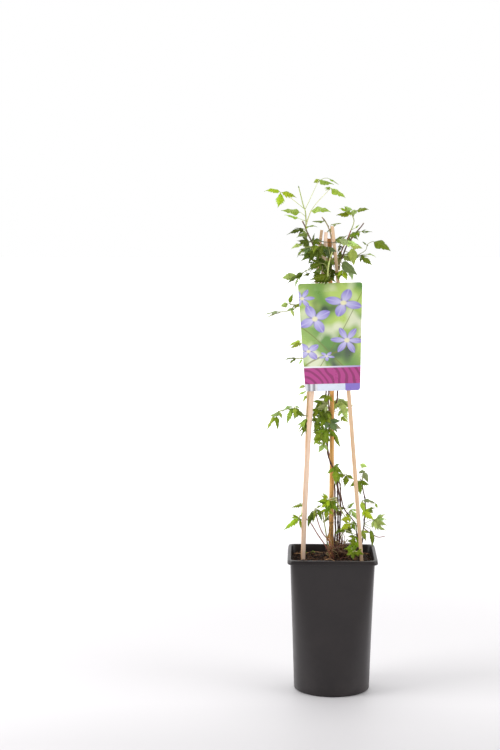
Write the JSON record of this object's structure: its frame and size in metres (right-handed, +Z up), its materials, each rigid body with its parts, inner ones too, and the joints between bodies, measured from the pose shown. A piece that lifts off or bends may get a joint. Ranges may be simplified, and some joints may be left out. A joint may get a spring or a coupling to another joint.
{
  "type": "potted clematis plant",
  "caption": "Young climbing clematis in a square-rimmed black nursery pot, wound up a bamboo cane among leaning split canes wired together at the top, with a printed plant card",
  "frame": {"origin": "centre of the pot's flat underside, on the surface that it stands on", "axes": "+Z up along the canes, -Y out of the printed front of the plant card, +X to the right as the card is read; the pot's square rim lies along X and Y"},
  "size_m": [0.1916, 0.139, 0.7973],
  "materials": {
    "black_plastic": "satin, charcoal black",
    "potting_soil": "loose, dark brown, fibrous",
    "round_bamboo": "smooth bamboo skin, yellow to orange",
    "split_bamboo": "raw split bamboo, pale pinkish beige",
    "coated_wire": "plastic-coated wire, dark green",
    "printed_card": "printed, semi-gloss",
    "clematis": "matt leaf green, with purple-brown stems"
  },
  "bodies": {
    "root": {"pot": "black_plastic", "soil": "potting_soil", "cane_middle": "round_bamboo", "cane_left": "split_bamboo", "cane_right": "split_bamboo", "cane_back": "split_bamboo", "wire_tie": "coated_wire", "plant_card": "printed_card", "vine_front": "clematis", "vine_right": "clematis", "vine_back": "clematis", "vine_low_front": "clematis", "vine_low_right": "clematis", "leaves_low_left": "clematis", "leaves_soil": "clematis", "leaves_low_back": "clematis", "leaves_mid_left": "clematis", "leaves_card_middle": "clematis", "leaves_card_foot": "clematis", "crown_left": "clematis", "crown_right": "clematis", "crown_back": "clematis"}
  },
  "joints": []
}
